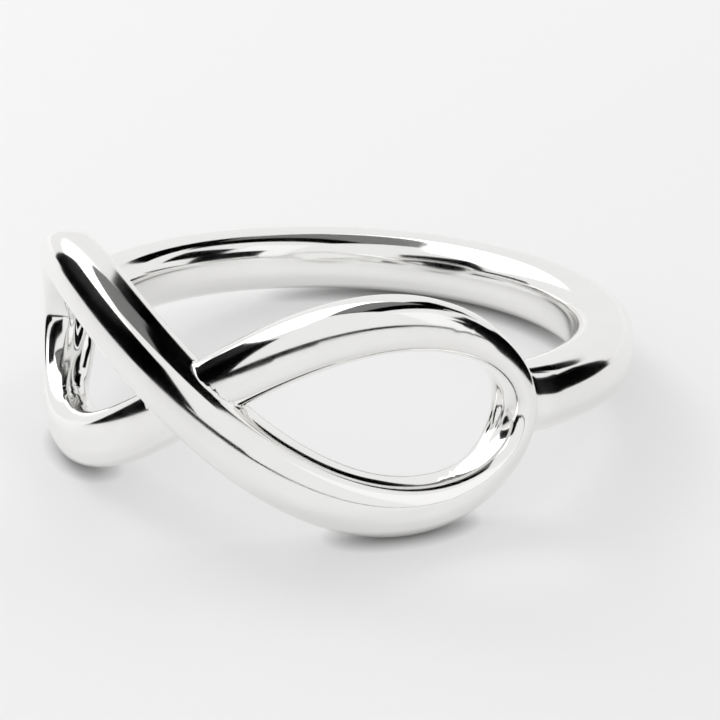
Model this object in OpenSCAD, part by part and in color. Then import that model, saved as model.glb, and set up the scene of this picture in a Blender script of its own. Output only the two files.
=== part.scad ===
// Infinity ring: a plain silver band whose front is a figure of eight of oval wire,
// wrapped round the finger and soldered to the band at the far end of each loop.
// The ring lies on its side as it rests by itself, on the lowest point of each loop
// and on the back of the band, with the motif towards -Y. Sizes are in millimetres.

/* [Finger] */
// Bore across the inside of the band
finger_d = 17.3; // [14:0.1:22]

/* [Metal] */
// How full the sections of band and wire are: 2 for a plain oval, more for flatter faces
fullness = 2.7; // [2:0.1:4]

/* [Band] */
// Thickness of the band, from its inside to its outside
band_t = 2.25; // [1.6:0.05:2.8]
// Height of the band along the finger
band_h = 2.4; // [1.6:0.05:3]
// Thickness that is left where the band ends behind a loop
band_end_t = 1.45; // [1.1:0.05:1.7]
// Angle over which the band swells from its end to its full thickness
shoulder = 9; // [6:1:16]

/* [Motif] */
// Angle round the finger from the crossing to the far end of a loop
loop_angle = 66.9; // [55:0.1:75]
// Height of the wire's middle line above and below the crossing, before the lean
loop_rise = 2.91; // [2.4:0.01:3.4]
// How far each loop's widest place leans towards the crossing
lean = 0.21; // [0:0.01:0.35]
// How far the loops are drawn together along the finger's girth
pinch = 0.10; // [0:0.01:0.2]
// Width of the front strand of wire
wire_w = 2.3; // [1.8:0.05:2.6]
// Thickness of the front strand, from its inside to its outside
wire_t = 2.0; // [1.6:0.05:2.3]
// Size of the back strand where it passes behind, as a share of the front one
back_share = 0.92; // [0.85:0.01:1]
// Distance that each strand steps out or in at the crossing
cross_step = 0.23; // [0.1:0.01:0.4]
// Gap between the bore and the inside of the wire
wire_clear = 0.2; // [0.1:0.01:0.4]

/* [Loop ends] */
// Width of the wire at the far end of a loop
end_w = 0.9; // [0.7:0.05:1.2]
// Thickness of the wire at the far end of a loop
end_t = 1.3; // [0.9:0.05:1.4]
// How far the wire's middle line moves outwards there
end_out = 0.62; // [0.5:0.01:0.8]
// Gap between the bore and the seat under the far end of a loop
seat_clear = 0.45; // [0.3:0.01:0.6]

/* [Hidden] */

bore_r = finger_d / 2;
band_r = bore_r + band_t / 2;
wire_r = bore_r + wire_clear + wire_t / 2;
seat_in = bore_r + seat_clear;

sides = 20;         // flats round a section of wire or band
strand_steps = 54;  // lengths of wire in one strand
band_steps = 46;    // lengths in the band
seat_steps = 8;     // lengths in the seat under a loop's end
seat_reach = 36;    // turn of the wire either side of a loop's end that its seat follows
tenon = 6;          // turn by which a strand runs on into the other one
silver = "#d9dbdc";

function ease(x) = let(s = min(max(x, 0), 1)) s * s * (3 - 2 * s);

// The wire goes once round the figure of eight as its turn t goes from 0 to 360: the
// right end is at 0, the front of the crossing at 90, the left end at 180 and the back
// of the crossing at 270.
function azimuth(t) = loop_angle * cos(t) * (1 - pinch * pow(sin(t), 2));
function height(t) = -loop_rise * sin(2 * t) * (1 + lean * pow(sin(t), 2));
function nearness(t) = pow(abs(cos(t)), 6);
function radius(t) = wire_r + cross_step * sin(t) * abs(sin(t)) + end_out * nearness(t);
function outward(a) = [sin(a), -cos(a), 0];
function on_wire(t) = radius(t) * outward(azimuth(t)) + [0, 0, height(t)];

// The strands taper from the crossing to the loops' ends
function strand_share(t) = back_share + (1 - back_share) * (1 + sin(t)) / 2;
function half_w(t) = (wire_w - (wire_w - end_w) * pow(cos(t), 4)) / 2 * strand_share(t);
function half_t(t) = (wire_t - (wire_t - end_t) * nearness(t)) / 2 * strand_share(t);

// Section of the wire, square to its run, with one axis pointing off the finger
function full(x) = sign(x) * pow(abs(x), 2 / fullness);
function unit(v) = v / norm(v);
function wire_section(t, size) =
    let(run = unit(on_wire(t + 0.5) - on_wire(t - 0.5)),
        out = unit(outward(azimuth(t)) - (outward(azimuth(t)) * run) * run),
        across = cross(out, run))
    [for (k = [0 : sides - 1])
        let(a = 360 * k / sides)
        on_wire(t) + size * (half_t(t) * full(cos(a)) * out + half_w(t) * full(sin(a)) * across)];

// One strand from end to end, with a narrower tenon that sits inside the other strand
function strand_turns(from) =
    concat([from - tenon], [for (i = [0 : strand_steps]) from + 180 * i / strand_steps],
        [from + 180 + tenon]);
function strand_sections(from) =
    let(turns = strand_turns(from), last = len(turns) - 1)
    [for (i = [0 : last]) wire_section(turns[i], i == 0 || i == last ? 0.7 : 1)];

// Section of the band at an azimuth counted from the crossing
function past_end(a) = min(a, 360 - a) - loop_angle;
function band_inner(a) = bore_r + seat_clear * (1 - ease(past_end(a) / shoulder));
function band_outer(a) =
    let(bare = seat_in + band_end_t)
    bare + (bore_r + band_t - bare) * ease(past_end(a) / shoulder);
function band_section(a, size) =
    let(mid = (band_inner(a) + band_outer(a)) / 2, half = (band_outer(a) - band_inner(a)) / 2)
    [for (k = [0 : sides - 1])
        let(b = 360 * k / sides)
        (mid + size * half * full(cos(b))) * outward(a) + [0, 0, size * band_h / 2 * full(sin(b))]];
function band_sections() =
    let(sweep = 360 - 2 * loop_angle)
    [for (i = [0 : band_steps])
        band_section(loop_angle + sweep * i / band_steps, i == 0 || i == band_steps ? 0.8 : 1)];

// How the ring settles: it tips back until the loops and the back of the band touch the
// floor together, then leans sideways until both loops touch.
function flat(sections) = [for (s = sections) for (p = s) p];
function turned(p, tip, roll) =
    let(y = p.y * cos(tip) - p.z * sin(tip), z = p.y * sin(tip) + p.z * cos(tip))
    [p.x * cos(roll) + z * sin(roll), y, z * cos(roll) - p.x * sin(roll)];
function lowest(points, tip, roll) = min([for (p = points) turned(p, tip, roll).z]);
function tip_error(tip) = lowest(motif_points, tip, 0) - lowest(band_points, tip, 0);
function settled(a, b, tries) =
    let(fa = tip_error(a), fb = tip_error(b))
    tries == 0 || abs(fb - fa) < 1e-9 ? b : settled(b, b - fb * (b - a) / (fb - fa), tries - 1);

front_sections = strand_sections(0);
back_sections = strand_sections(180);
motif_points = concat(flat(front_sections), flat(back_sections));
band_points = flat(band_sections());
right_points = [for (p = motif_points) if (p.x > 0) p];
left_points = [for (p = motif_points) if (p.x < 0) p];

tip = settled(-9, -11, 6);
loops_apart = 2 * wire_r * sin(loop_angle * 0.62);
roll = asin((lowest(right_points, tip, 0) - lowest(left_points, tip, 0)) / loops_apart);

resting = [for (p = concat(motif_points, band_points)) turned(p, tip, roll)];
function low_corner(i) = min([for (p = resting) p[i]]);
function high_corner(i) = max([for (p = resting) p[i]]);
origin = [(low_corner(0) + high_corner(0)) / 2, (low_corner(1) + high_corner(1)) / 2, low_corner(2)];

echo(tip = tip, roll = roll, height = high_corner(2) - low_corner(2),
    width = high_corner(0) - low_corner(0), depth = high_corner(1) - low_corner(1), origin = origin);

// Skin through a row of sections, closed by a flat cap at each end
module skin(sections) {
    count = len(sections);
    walls = [for (i = [0 : count - 2]) for (k = [0 : sides - 1])
        let(n = (k + 1) % sides, here = i * sides, next = (i + 1) * sides)
        for (face = [[here + k, next + n, next + k], [here + k, here + n, next + n]]) face];
    first_cap = [for (k = [0 : sides - 1]) sides - 1 - k];
    last_cap = [for (k = [0 : sides - 1]) (count - 1) * sides + k];
    polyhedron(flat(sections), concat(walls, [first_cap, last_cap]), convexity = 6);
}

module strand(sections) {
    color(silver) skin(sections);
}

module band() {
    color(silver) skin(band_sections());
}

// The seat is a rounded bead of metal that follows the inside of a loop's end, so the
// wall of the loop shows two lips with a groove between them. It runs out inside the wire.
module seat(middle) {
    step = 2 * seat_reach / seat_steps;
    module bead(t) {
        r = 0.95 * half_w(t);
        run_out = pow((t - middle) / seat_reach, 4);
        from_axis = seat_in + r + (radius(t) - seat_in - r) * run_out;
        translate(from_axis * outward(azimuth(t)) + [0, 0, height(t)])
            rotate([0, 0, azimuth(t)]) sphere(r, $fn = 12);
    }
    color(silver) for (i = [0 : seat_steps - 1]) {
        t = middle - seat_reach + i * step;
        hull() {
            bead(t);
            bead(t + step);
        }
    }
}

module infinity_ring() {
    translate(-origin) rotate([tip, roll, 0]) union() {
        strand(front_sections);
        strand(back_sections);
        band();
        seat(0);
        seat(180);
    }
}

infinity_ring();
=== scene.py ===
import math

import bmesh
import bpy
import numpy as np
from mathutils import Matrix, Vector


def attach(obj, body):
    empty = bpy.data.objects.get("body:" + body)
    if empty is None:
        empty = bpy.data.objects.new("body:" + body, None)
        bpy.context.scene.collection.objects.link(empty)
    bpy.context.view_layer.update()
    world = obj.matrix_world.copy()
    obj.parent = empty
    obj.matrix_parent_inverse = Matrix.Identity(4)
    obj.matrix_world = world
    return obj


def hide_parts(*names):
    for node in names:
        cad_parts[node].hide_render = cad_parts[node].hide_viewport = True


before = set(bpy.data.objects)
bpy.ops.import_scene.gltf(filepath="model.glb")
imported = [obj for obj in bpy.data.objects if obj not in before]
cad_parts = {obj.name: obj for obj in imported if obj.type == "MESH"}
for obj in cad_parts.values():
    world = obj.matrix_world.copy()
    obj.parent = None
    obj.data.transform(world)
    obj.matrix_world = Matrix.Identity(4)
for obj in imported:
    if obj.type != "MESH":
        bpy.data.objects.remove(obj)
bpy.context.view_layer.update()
bpy.ops.object.select_all(action="DESELECT")
millimetre = 0.001


# The wire of the motif: thick silver wire, bent once round a figure of eight that wraps the finger.
# Its turn goes from 0 at the right end over 90 at the front of the crossing to 180 at the left end,
# and back behind the crossing at 270. Sizes are in millimetres and angles in degrees.
bore_radius = 8.65
loop_angle = 66.9
loop_rise = 2.91
loop_lean = 0.21
loop_pinch = 0.10
wire_width = 2.3
wire_thickness = 2.0
back_share = 0.92
cross_step = 0.23
wire_clear = 0.2
wire_radius = bore_radius + wire_clear + wire_thickness / 2
end_width = 0.9
end_thickness = 1.3
end_out = 0.62
wire_lengths = 300
wire_sides = 84
tenon = 6.0
tenon_size = 0.7
fullness = 2.7
small_turn = 0.05


def outward(azimuth):
    angle = np.radians(azimuth)
    return np.stack([np.sin(angle), -np.cos(angle), np.zeros_like(angle)], axis=-1)


def wire_place(turn):
    """Azimuth round the finger, height along it and radius from its axis."""
    sine = np.sin(np.radians(turn))
    cosine = np.cos(np.radians(turn))
    azimuth = loop_angle * cosine * (1 - loop_pinch * sine**2)
    height = -loop_rise * 2 * sine * cosine * (1 + loop_lean * sine**2)
    radius = wire_radius + cross_step * sine * np.abs(sine) + end_out * np.abs(cosine) ** 6
    return azimuth, height, radius


def wire_point(turn):
    azimuth, height, radius = wire_place(turn)
    point = radius[..., None] * outward(azimuth)
    point[..., 2] = height
    return point


def wire_halves(turn):
    """Half the wire's thickness and half its width."""
    sine = np.sin(np.radians(turn))
    cosine = np.cos(np.radians(turn))
    share = back_share + (1 - back_share) * (1 + sine) / 2
    thinned = (wire_thickness - end_thickness) * np.abs(cosine) ** 6
    narrowed = (wire_width - end_width) * cosine**4
    return (wire_thickness - thinned) / 2 * share, (wire_width - narrowed) / 2 * share


def unit(vectors):
    return vectors / np.linalg.norm(vectors, axis=-1, keepdims=True)


def path_axes(turn, place):
    """Directions square to a path round the motif: off the finger, and across the path's run."""
    run = unit(place(turn + small_turn) - place(turn - small_turn))
    out = outward(wire_place(turn)[0])
    out = unit(out - np.sum(out * run, axis=-1, keepdims=True) * run)
    return out, np.cross(out, run)


def full(share):
    """Moves a point of a circle out to a fuller oval, which has flatter faces."""
    return np.sign(share) * np.abs(share) ** (2 / fullness)


def swept_piece(name, rings):
    """Closed tube through a row of rings of points, in millimetres."""
    sides = rings.shape[1]
    mesh_maker = bmesh.new()
    grid = [[mesh_maker.verts.new(point) for point in ring] for ring in rings]
    for here, there in zip(grid, grid[1:]):
        for k in range(sides):
            n = (k + 1) % sides
            mesh_maker.faces.new((here[k], there[k], there[n], here[n]))
    mesh_maker.faces.new(grid[0])
    mesh_maker.faces.new(grid[-1][::-1])
    mesh = bpy.data.meshes.new(name)
    mesh_maker.to_mesh(mesh)
    mesh_maker.free()
    piece = bpy.data.objects.new(name, mesh)
    bpy.context.collection.objects.link(piece)
    return piece


def circle(sides):
    """Angles of the points round a section."""
    return 2 * math.pi * np.arange(sides) / sides


def strand(name, first_turn):
    inner = first_turn + 180 * np.arange(wire_lengths + 1) / wire_lengths
    turns = np.concatenate([[first_turn - tenon], inner, [first_turn + 180 + tenon]])
    sizes = np.ones(len(turns))
    sizes[[0, -1]] = tenon_size
    out, across = path_axes(turns, wire_point)
    half_thickness, half_width = wire_halves(turns)
    angles = circle(wire_sides)
    share_out, share_across = full(np.cos(angles)), full(np.sin(angles))
    side_out = (sizes * half_thickness)[:, None, None] * share_out[None, :, None] * out[:, None, :]
    side_across = (sizes * half_width)[:, None, None] * share_across[None, :, None] * across[:, None, :]
    return swept_piece(name, wire_point(turns)[:, None, :] + side_out + side_across)


front_strand = strand("front_strand", 0.0)
back_strand = strand("back_strand", 180.0)


# The band: silver of rounded section, thinned a little where it butts against the back of each loop's
# far end. It is bent round the finger and closed by the motif.
band_thickness = 2.25
band_height = 2.4
band_end_thickness = 1.45
shoulder = 9.0
seat_clear = 0.45
seat_inside = bore_radius + seat_clear
band_lengths = 260
band_sides = 72
band_end_size = 0.8


def band_section(azimuth):
    """Radius of the section's middle and half its thickness, at an azimuth counted from the crossing."""
    past_end = np.minimum(azimuth, 360 - azimuth) - loop_angle
    grown = np.clip(past_end / shoulder, 0, 1)
    grown = grown * grown * (3 - 2 * grown)
    inner = bore_radius + seat_clear * (1 - grown)
    bare = seat_inside + band_end_thickness
    outer = bare + (bore_radius + band_thickness - bare) * grown
    return (inner + outer) / 2, (outer - inner) / 2


def band_piece():
    azimuths = loop_angle + (360 - 2 * loop_angle) * np.arange(band_lengths + 1) / band_lengths
    sizes = np.ones(len(azimuths))
    sizes[[0, -1]] = band_end_size
    middle, half = band_section(azimuths)
    angles = circle(band_sides)
    radius = middle[:, None] + (sizes * half)[:, None] * full(np.cos(angles))
    rings = radius[..., None] * outward(azimuths)[:, None, :]
    rings[..., 2] = (sizes * band_height / 2)[:, None] * full(np.sin(angles))
    return swept_piece("band", rings)


band = band_piece()


# The seats: a rounded bead of silver under the far end of each loop, which gives the loop's wall two
# lips with a groove between them. It runs out inside the wire.
seat_reach = 36.0
seat_share = 0.95
seat_lengths = 60
seat_sides = 48
most_run_out = 1.2


def bead_radius(turn):
    return seat_share * wire_halves(turn)[1]


def bead_point(turn):
    """Middle of the bead at a turn of the wire."""
    azimuth, height, radius = wire_place(turn)
    bead = bead_radius(turn)
    past_middle = turn - 180 * np.round(turn / 180)
    run_out = np.minimum((past_middle / seat_reach) ** 4, most_run_out)
    from_axis = seat_inside + bead + (radius - seat_inside - bead) * run_out
    point = from_axis[..., None] * outward(azimuth)
    point[..., 2] = height
    return point


def seat(name, middle_turn):
    turns = middle_turn + seat_reach * (2 * np.arange(seat_lengths + 1) / seat_lengths - 1)
    out, across = path_axes(turns, bead_point)
    angles = circle(seat_sides)
    side_out = np.cos(angles)[None, :, None] * out[:, None, :]
    side_across = np.sin(angles)[None, :, None] * across[:, None, :]
    spokes = bead_radius(turns)[:, None, None] * (side_out + side_across)
    return swept_piece(name, bead_point(turns)[:, None, :] + spokes)


right_seat = seat("right_seat", 0.0)
left_seat = seat("left_seat", 180.0)


# Soldering and polishing: the pieces become one solid, and the polishing wheel leaves a small fillet in
# each corner. Every point is moved onto one smooth surface, whose slope also gives the shading.
crossing_fillet = 0.10
seat_fillet = 0.16
band_fillet = 0.30


def joined(target, others):
    bpy.ops.object.select_all(action="DESELECT")
    bpy.context.view_layer.objects.active = target
    target.select_set(True)
    for other in others:
        union = target.modifiers.new("join", "BOOLEAN")
        union.operation = "UNION"
        union.solver = "MANIFOLD"
        union.object = other
        bpy.ops.object.modifier_apply(modifier=union.name)
        bpy.data.objects.remove(other)
    return target


def oval_distance(off, over, half_off, half_over):
    """About how far a point lies outside a full oval, from its place along the oval's two axes."""
    off_share = np.abs(off / half_off) + 1e-9
    over_share = np.abs(over / half_over) + 1e-9
    near = (off_share**fullness + over_share**fullness) ** (1 / fullness)
    steepness = fullness - 1
    off_slope = off_share**steepness / half_off
    over_slope = over_share**steepness / half_over
    slope = np.hypot(off_slope, over_slope) / near**steepness
    return (near - 1) / slope


def nearest_turn(points, guess, place):
    """Newton's method for the turn whose place on the path is nearest to each point."""
    turn = guess.copy()
    step = 0.2
    longest_move = 3
    for _ in range(3):
        here, ahead, behind = place(turn), place(turn + step), place(turn - step)
        speed = (ahead - behind) / (2 * step)
        bend = (ahead - 2 * here + behind) / step**2
        gap = points - here
        pull = np.sum(gap * speed, axis=1)
        stiffness = np.sum(gap * bend, axis=1) - np.sum(speed * speed, axis=1)
        turn -= np.clip(pull / np.minimum(stiffness, -1e-6), -longest_move, longest_move)
    return turn


def first_guess(points, turns, place):
    """Nearest of some turns to each point, found for a block of points at a time."""
    path = place(turns)
    best = np.empty(len(points))
    block_size = 4000
    for start in range(0, len(points), block_size):
        block = points[start : start + block_size]
        gaps = np.sum((block[:, None, :] - path[None, :, :]) ** 2, axis=2)
        best[start : start + block_size] = turns[np.argmin(gaps, axis=1)]
    return best


def strand_distance(points, guess):
    turn = nearest_turn(points, guess, wire_point)
    out, across = path_axes(turn, wire_point)
    gap = points - wire_point(turn)
    half_thickness, half_width = wire_halves(turn)
    off, over = np.sum(gap * out, axis=1), np.sum(gap * across, axis=1)
    beside = oval_distance(off, over, half_thickness, half_width)
    end_play = 0.05
    beyond_end = np.abs(np.sum(gap * np.cross(across, out), axis=1)) - end_play
    return np.maximum(beside, beyond_end)


def seat_distance(points, guess, middle_turn):
    turn = nearest_turn(points, guess, bead_point)
    turn = np.clip(turn, middle_turn - seat_reach, middle_turn + seat_reach)
    return np.linalg.norm(points - bead_point(turn), axis=1) - bead_radius(turn)


def band_distance(points):
    azimuth = np.degrees(np.arctan2(points[:, 0], -points[:, 1])) % 360
    middle, half = band_section(azimuth)
    off = np.hypot(points[:, 0], points[:, 1]) - middle
    past_end = np.radians(np.minimum(azimuth, 360 - azimuth) - loop_angle) * middle
    return np.maximum(oval_distance(off, points[:, 2], half, band_height / 2), -past_end)


def blended(first, second, fillet):
    """Smooth minimum: the nearer of two distances, with a fillet where they are alike."""
    share = np.maximum(fillet - np.abs(first - second), 0) / fillet
    return np.minimum(first, second) - share * share * fillet / 4


front_span = np.arange(-24.0, 204.5, 1.5)
back_span = front_span + 180
seat_span = np.arange(-seat_reach, seat_reach + 1, 2.0)


def surface_guesses(points):
    return (
        first_guess(points, front_span, wire_point),
        first_guess(points, back_span, wire_point),
        first_guess(points, seat_span, bead_point),
        first_guess(points, seat_span + 180, bead_point),
    )


def ring_distance(points, guesses):
    """About how far each point lies outside the finished ring."""
    front, back, right, left = guesses
    # The fillet between the strands fades away from the crossing, to nearly nothing at the loops' ends
    at_crossing = np.clip(1.6 * np.sin(np.radians(front)) ** 2 - 0.6, 0, 1)
    wire_fillet = crossing_fillet * at_crossing + 1e-4
    wire = blended(strand_distance(points, front), strand_distance(points, back), wire_fillet)
    beads = np.minimum(seat_distance(points, right, 0.0), seat_distance(points, left, 180.0))
    motif = blended(wire, beads, seat_fillet)
    return blended(motif, band_distance(points), band_fillet)


def ring_slope(points, guesses):
    step = 0.002
    slope = np.empty_like(points)
    for axis in range(3):
        shift = np.zeros(3)
        shift[axis] = step
        ahead = ring_distance(points + shift, guesses)
        behind = ring_distance(points - shift, guesses)
        slope[:, axis] = (ahead - behind) / (2 * step)
    return slope


def lowest(points, tip):
    return np.min(points[:, 1] * math.sin(tip) + points[:, 2] * math.cos(tip))


def settle(points, slopes):
    """Tips the ring back until its loops and the back of its band lie on the floor together."""
    loops = points[points[:, 1] < 0]
    back = points[points[:, 1] > 0]
    low, high = math.radians(-14), math.radians(-6)
    halvings = 40
    for _ in range(halvings):
        tip = (low + high) / 2
        if lowest(loops, tip) > lowest(back, tip):
            low = tip
        else:
            high = tip
    tipped = np.array(Matrix.Rotation(tip, 3, "X"))
    points = points @ tipped.T
    right = points[points[:, 0] > 0]
    left = points[points[:, 0] < 0]
    right_foot = right[right[:, 2].argmin()]
    left_foot = left[left[:, 2].argmin()]
    roll = math.asin((right_foot[2] - left_foot[2]) / (right_foot[0] - left_foot[0]))
    rolled = np.array(Matrix.Rotation(roll, 3, "Y"))
    points = points @ rolled.T
    middle = (points.max(axis=0) + points.min(axis=0)) / 2
    middle[2] = points[:, 2].min()
    return points - middle, slopes @ tipped.T @ rolled.T


ring = joined(front_strand, [back_strand, band, right_seat, left_seat])
ring.name = "polished_ring"
ring.data.name = "polished_ring"

points = np.empty(len(ring.data.vertices) * 3, dtype=np.float32)
ring.data.vertices.foreach_get("co", points)
points = points.reshape(-1, 3).astype(float)
guesses = surface_guesses(points)
polishing_rounds = 3
least_slope = 0.25
for _ in range(polishing_rounds):
    slope = ring_slope(points, guesses)
    distance = ring_distance(points, guesses)
    slope_squared = np.sum(slope * slope, axis=1, keepdims=True)
    points -= distance[:, None] * slope / np.maximum(slope_squared, least_slope)
slope = unit(ring_slope(points, guesses))
points, slope = settle(points, slope)
ring.data.vertices.foreach_set("co", (points * millimetre).astype(np.float32).ravel())
ring.data.update()
ring.data.shade_smooth()
ring.data.normals_split_custom_set_from_vertices(slope)
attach(ring, "root")
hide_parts("infinity_ring")


# Polished silver. It mirrors its surroundings, and the polish leaves a faint cloud, hairlines along the
# girth and a slight swell, which soften the reflections a little.
def linear(hex_colour):
    """sRGB hex value to linear colour."""
    channels = [int(hex_colour[i : i + 2], 16) / 255 for i in (1, 3, 5)]
    return [c / 12.92 if c <= 0.04045 else ((c + 0.055) / 1.055) ** 2.4 for c in channels] + [1.0]


def add_node(tree, kind, settings=None, links=None):
    node = tree.nodes.new(kind)
    for name, value in (settings or {}).items():
        if isinstance(name, int) or name in node.inputs:
            node.inputs[name].default_value = value
        else:
            setattr(node, name, value)
    for name, source in (links or {}).items():
        tree.links.new(source, node.inputs[name])
    return node


def polished_silver():
    material = bpy.data.materials.new("polished_silver")
    material.use_nodes = True
    tree = material.node_tree
    tree.nodes.clear()
    place = add_node(tree, "ShaderNodeTexCoord").outputs["Object"]
    cloud = add_node(
        tree, "ShaderNodeTexNoise", {"Scale": 420.0, "Detail": 3.0, "Roughness": 0.55}, {"Vector": place}
    )
    tone = add_node(
        tree,
        "ShaderNodeMixRGB",
        {"Color1": linear("#fafaf9"), "Color2": linear("#f3f2f0")},
        {"Fac": cloud.outputs["Fac"]},
    )
    haze = add_node(
        tree,
        "ShaderNodeMapRange",
        {"From Min": 0.35, "From Max": 0.7, "To Min": 0.08, "To Max": 0.14},
        {"Value": cloud.outputs["Fac"]},
    )
    along_girth = add_node(
        tree, "ShaderNodeMapping", {"Scale": (0.04, 0.04, 1.0)}, {"Vector": place}
    )
    hairlines = add_node(
        tree,
        "ShaderNodeTexNoise",
        {"Scale": 9000.0, "Detail": 2.0},
        {"Vector": along_girth.outputs["Vector"]},
    )
    swell = add_node(tree, "ShaderNodeTexNoise", {"Scale": 700.0, "Detail": 1.0}, {"Vector": place})
    lines = add_node(
        tree,
        "ShaderNodeBump",
        {"Strength": 0.5, "Distance": 0.0000003},
        {"Height": hairlines.outputs["Fac"]},
    )
    surface = add_node(
        tree,
        "ShaderNodeBump",
        {"Strength": 1.0, "Distance": 0.0000025},
        {"Height": swell.outputs["Fac"], "Normal": lines.outputs["Normal"]},
    )
    shader = add_node(
        tree,
        "ShaderNodeBsdfPrincipled",
        {"Metallic": 1.0},
        {
            "Base Color": tone.outputs["Color"],
            "Roughness": haze.outputs["Result"],
            "Normal": surface.outputs["Normal"],
        },
    )
    add_node(tree, "ShaderNodeOutputMaterial", links={"Surface": shader.outputs["BSDF"]})
    return material


ring.data.materials.clear()
ring.data.materials.append(polished_silver())


# The studio: a pale table in a white tent. The table glows a little, a painted fill light that lifts its
# shadows, and the glow fades in the narrow gap under the ring, a painted contact shade. Two lights, one
# from the left and one from behind, light only the table. The other boards are seen only as the silver
# mirrors them: a softbox on either side, a grey panel in a black frame overhead, and black flags and
# sheets that draw the dark lines. The camera sees none of the boards. Their places in millimetres were
# worked out from the photograph's reflections.
# The floor's size and the reach of the painted dark contact shade on it are in metres.
tent_brightness = 0.88
reach = 200.0
black = 0.0
floor_size = 4
# The table's glow is painted fill light, and its reach below is how far the painted contact shade
# spreads from the ring
painted_floor_fill_light = 0.385
painted_contact_shade_reach = 0.0006


def floor_material(hex_colour, painted_fill_light):
    """Pale table that glows, a painted fill light that lifts its shadows; the glow fades by ambient
    occlusion in the narrow gap where the ring touches it, which paints the dark contact shade.
    """
    material = bpy.data.materials.new("pale_floor")
    material.use_nodes = True
    tree = material.node_tree
    shader = tree.nodes["Principled BSDF"]
    # Ambient occlusion dims the painted fill light near the ring, which paints the dark contact shade
    gap = add_node(tree, "ShaderNodeAmbientOcclusion", {"Distance": painted_contact_shade_reach})
    lift = add_node(
        tree, "ShaderNodeMath", {"operation": "MULTIPLY", 1: painted_fill_light}, {0: gap.outputs["AO"]}
    )
    shader.inputs["Base Color"].default_value = linear(hex_colour)
    shader.inputs["Roughness"].default_value = 0.6
    shader.inputs["Emission Color"].default_value = linear("#ffffff")
    tree.links.new(lift.outputs["Value"], shader.inputs["Emission Strength"])
    return material


def lit_material(name, brightness):
    material = bpy.data.materials.new(name)
    material.use_nodes = True
    tree = material.node_tree
    tree.nodes.clear()
    light = add_node(tree, "ShaderNodeEmission", {"Strength": brightness})
    add_node(tree, "ShaderNodeOutputMaterial", links={"Surface": light.outputs["Emission"]})
    return material


def board(name, corners, brightness, lights_table=False):
    """Flat board from its corners in millimetres: it lights the table, or the silver mirrors it."""
    places = [[millimetre * value for value in corner] for corner in corners]
    mesh = bpy.data.meshes.new(name)
    mesh.from_pydata(places, [], [range(len(places))])
    mesh.materials.append(lit_material(name, brightness))
    panel = bpy.data.objects.new(name, mesh)
    bpy.context.collection.objects.link(panel)
    panel.visible_camera = False
    panel.visible_glossy = not lights_table
    panel.visible_diffuse = lights_table
    panel.visible_shadow = False


def compass(azimuth):
    """Level directions away from the ring and along a board that faces it."""
    angle = math.radians(azimuth)
    away = Vector((math.sin(angle), -math.cos(angle), 0))
    return away, Vector((math.cos(angle), math.sin(angle), 0))


def upright(azimuth, distance, left, right, bottom, top):
    """Corners of a board on edge that faces the ring."""
    away, along = compass(azimuth)
    places = ((left, bottom), (right, bottom), (right, top), (left, top))
    return [distance * away + side * along + Vector((0, 0, height)) for side, height in places]


def between(start, end, start_heights, end_heights):
    """Corners of a board on edge between two places on the table."""
    (low, high), (end_low, end_high) = start_heights, end_heights
    return [(*start, low), (*end, end_low), (*end, end_high), (*start, high)]


def facing(azimuth, elevation, distance, width, height):
    """Corners of a board that leans over to face the ring."""
    away, along = compass(azimuth)
    tilt = math.radians(elevation)
    centre = distance * (math.cos(tilt) * away + Vector((0, 0, math.sin(tilt))))
    rise = Vector((0, 0, math.cos(tilt))) - math.sin(tilt) * away
    places = ((-1, -1), (1, -1), (1, 1), (-1, 1))
    return [centre + side * width / 2 * along + lift * height / 2 * rise for side, lift in places]


def overhead(height, plan):
    """Corners of a level board above the ring."""
    return [(x, y, height) for x, y in plan]


def lying(from_azimuth, to_azimuth, near, far):
    """Corners of a dark sheet that lies on the table."""
    first, second = compass(from_azimuth)[0], compass(to_azimuth)[0]
    lift = Vector((0, 0, 0.2))
    return [near * first + lift, near * second + lift, far * second + lift, far * first + lift]


bpy.ops.mesh.primitive_plane_add(size=floor_size, location=(0, 0, 0))
floor = bpy.context.active_object
floor.name = "floor"
floor.data.materials.append(floor_material("#a9a9a9", painted_floor_fill_light))

world = bpy.data.worlds.new("tent")
bpy.context.scene.world = world
world.use_nodes = True
world.node_tree.nodes["Background"].inputs["Color"].default_value = linear("#ffffff")
world.node_tree.nodes["Background"].inputs["Strength"].default_value = tent_brightness

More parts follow.
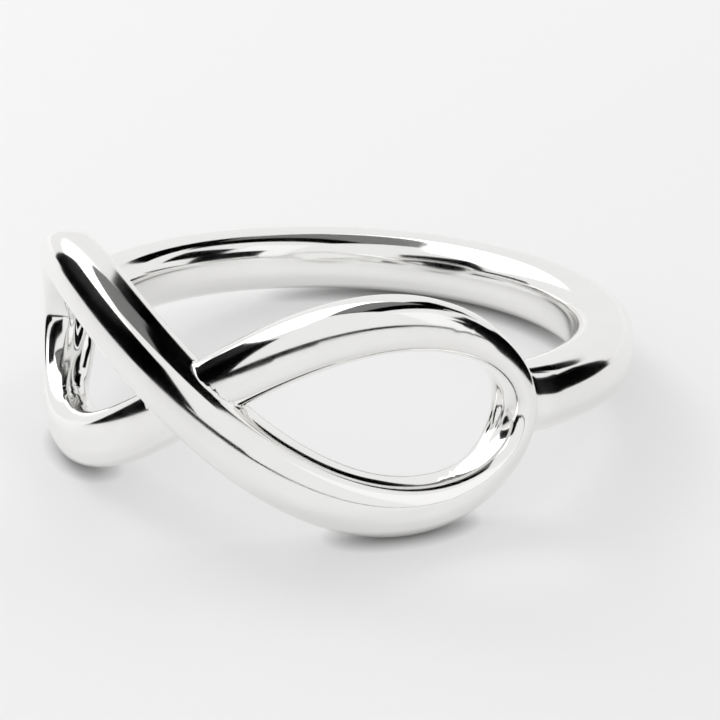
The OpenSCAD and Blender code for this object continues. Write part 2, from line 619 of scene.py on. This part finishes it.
board("key_light", facing(-112, 36, 500, 190, 190), 8.5, lights_table=True)
board("back_light", facing(160, 40, 500, 190, 190), 4.0, lights_table=True)
board("left_softbox", facing(-95, 50, reach + 20, 330, 200), 1.9)
board("right_softbox", facing(74, 25, reach + 20, 120, 190), 1.0)
board("near_flag", between((-15.2, -6.3), (-2.3, -23.7), (7.2, 18), (5.3, 18)), black)
board("left_flag", upright(-53.5, 46, -28, 37, 0.4, 14), black)
board("low_strip", upright(-8, 42, -11, 11, 1.7, 5.2), black)
board("right_flag", between((40, -9), (17, 13), (0.4, 24), (0.4, 12)), black)
board("far_flag", upright(120, reach, -80, 60, 60, 165), black)
board("back_bar", upright(172, reach, -42, 75, 100, 240), black)
board("panel_frame", overhead(reach, [(-98, 150), (-54, -50), (84, -84), (110, 190)]), black)
board("panel", overhead(reach - 3, [(-88, 142), (22, 156), (22, -58), (-48, -42)]), 0.19)
# Dark sheets side by side on the table, each with the azimuth of its first side and its distance
sheets = ((-84, 50), (-60, 56), (-20, 66), (20, 80), (50, 95), (80, 46), (110, 46))
last_side = 145
far_side = 290
ends = [azimuth for azimuth, near in sheets[1:]] + [last_side]
for (azimuth, near), end in zip(sheets, ends):
    board("dark_sheet", lying(azimuth, end, near, far_side), black)


# The camera stands to the right of the crossing and looks down on the ring, as in the photograph, with
# a long lens that keeps the ring's far side nearly as large as its near side.
camera_azimuth = 31.227
camera_elevation = 26.468
camera_roll = -3.303
camera_distance = 106.547
aim_point = Vector((0.894, 0.059, 1.839))
lens_length = 143.74

view = Vector((
    -math.sin(math.radians(camera_azimuth)) * math.cos(math.radians(camera_elevation)),
    math.cos(math.radians(camera_azimuth)) * math.cos(math.radians(camera_elevation)),
    -math.sin(math.radians(camera_elevation)),
))
camera_data = bpy.data.cameras.new("camera")
camera = bpy.data.objects.new("camera", camera_data)
bpy.context.collection.objects.link(camera)
camera_data.sensor_width = 36
camera_data.lens = lens_length
camera_data.clip_start = 0.01
camera_data.clip_end = 10
level = view.to_track_quat("-Z", "Y").to_matrix().to_4x4()
camera.matrix_world = (
    Matrix.Translation((aim_point - camera_distance * view) * millimetre)
    @ level
    @ Matrix.Rotation(math.radians(camera_roll), 4, "Z")
)
bpy.context.scene.camera = camera
bpy.context.scene.view_settings.view_transform = "Standard"
